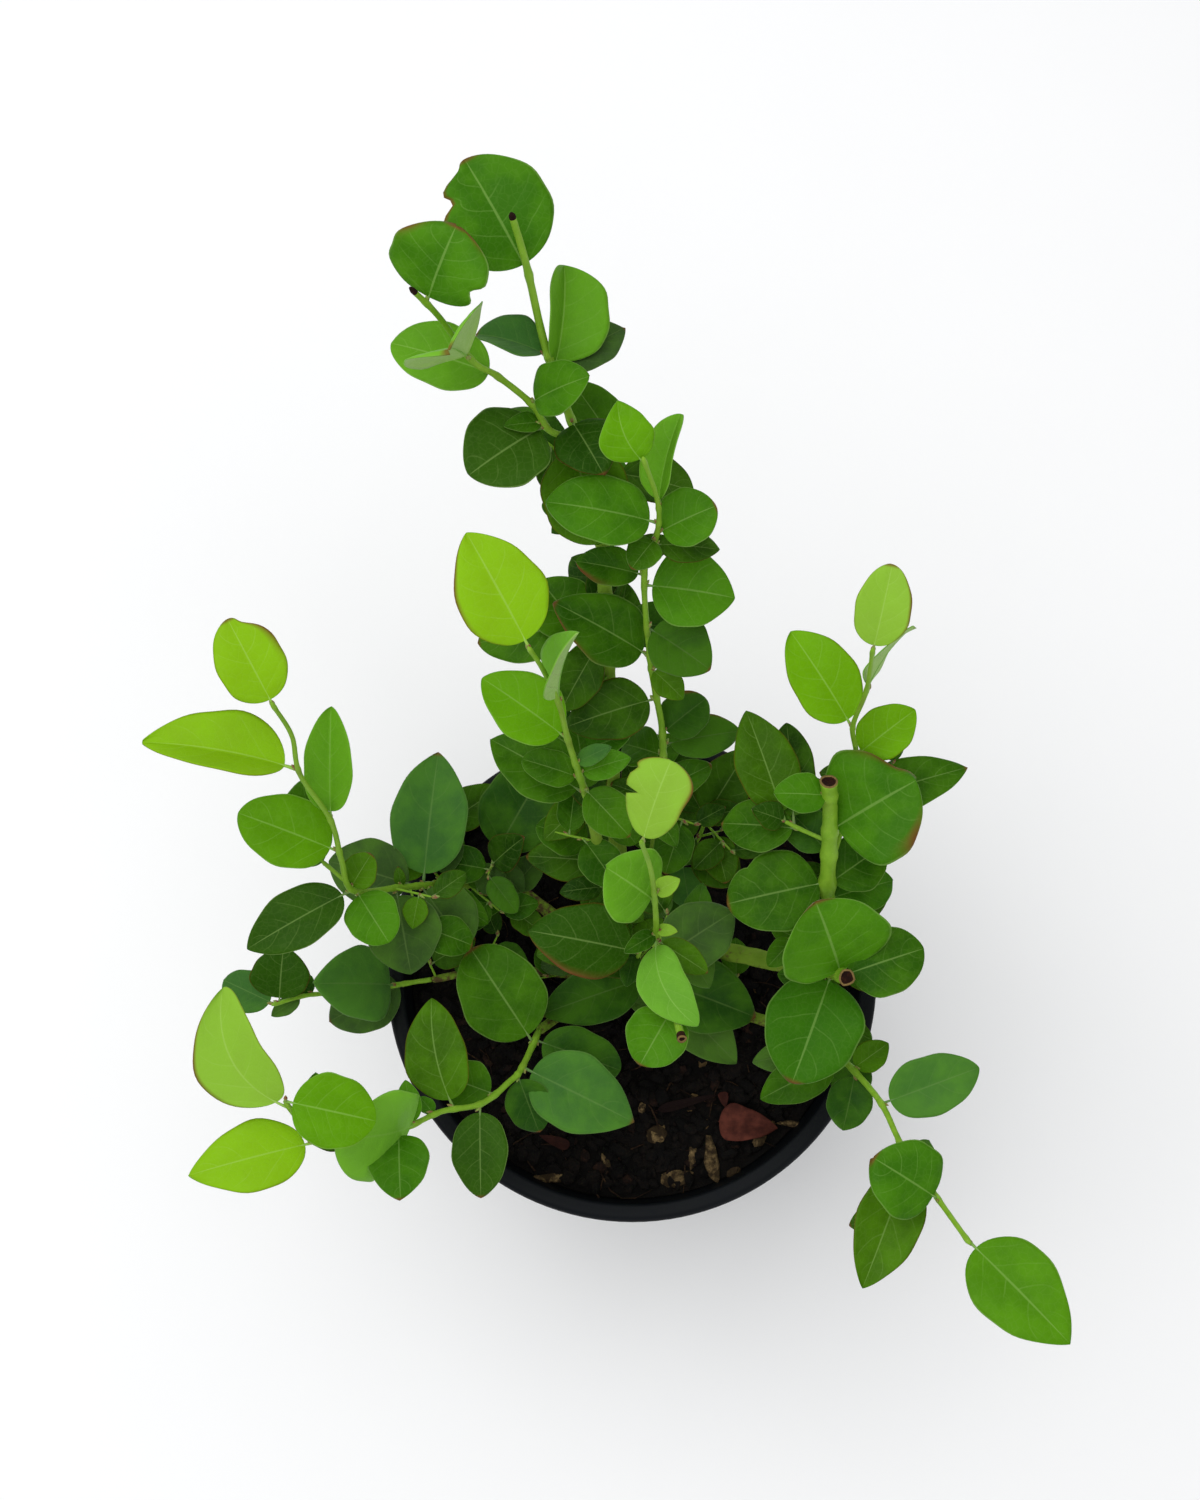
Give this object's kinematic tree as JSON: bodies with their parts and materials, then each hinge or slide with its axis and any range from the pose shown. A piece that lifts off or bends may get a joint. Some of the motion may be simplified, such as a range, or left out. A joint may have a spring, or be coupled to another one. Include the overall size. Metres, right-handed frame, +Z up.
{
  "type": "potted blueberry bush",
  "caption": "Young blueberry bush with spreading leafy canes in a round, tapered, dark nursery pot filled with potting mix.",
  "frame": {"origin": "centre of the pot's flat underside", "axes": "+Z up; +Y to the back, where the tallest shoots lean; +X to the right seen from the front"},
  "size_m": [0.257, 0.2937, 0.4097],
  "materials": {
    "pot_plastic": "satin moulded plastic, bluish black",
    "potting_mix": "moist dark bark and peat crumbs",
    "bark": "young olive-green bark browning to grey at the foot",
    "leaf": "waxy green blades with pale veins, paler underneath"
  },
  "bodies": {
    "root": {"pot": "pot_plastic", "soil": "potting_mix", "crown": "bark", "cane_back": "bark", "cane_inner_back": "bark", "cane_back_left": "bark", "cane_centre": "bark", "cane_left": "bark", "cane_low_left": "bark", "cane_front_left": "bark", "cane_right": "bark", "cane_front_right": "bark", "shoot_back_right": "leaf", "shoot_back_left": "leaf", "shoot_inner_back": "leaf", "shoot_upper_left": "leaf", "shoot_centre": "leaf", "shoot_centre_front": "leaf", "shoot_left": "leaf", "shoot_left_low": "leaf", "shoot_low_left": "leaf", "shoot_front_left": "leaf", "shoot_right_stub": "leaf", "shoot_right_top": "leaf", "shoot_right_cut": "leaf", "shoot_front_right": "leaf", "sprig_back_middle": "leaf", "sprig_right_back": "leaf", "sprig_middle": "leaf", "sprig_front_right": "leaf", "sprig_back_right": "leaf", "sprig_back_left": "leaf", "twig_back_low": "leaf", "twig_back_middle": "leaf", "twig_back_high": "leaf", "twig_back_top": "leaf", "twig_inner_back": "leaf", "twig_upper_left_low": "leaf", "twig_upper_left_high": "leaf", "twig_left_low": "leaf", "twig_left": "leaf", "twig_front_left": "leaf", "twig_right_low": "leaf", "twig_right": "leaf", "twig_front_right_low": "leaf", "twig_front_right": "leaf"}
  },
  "joints": []
}
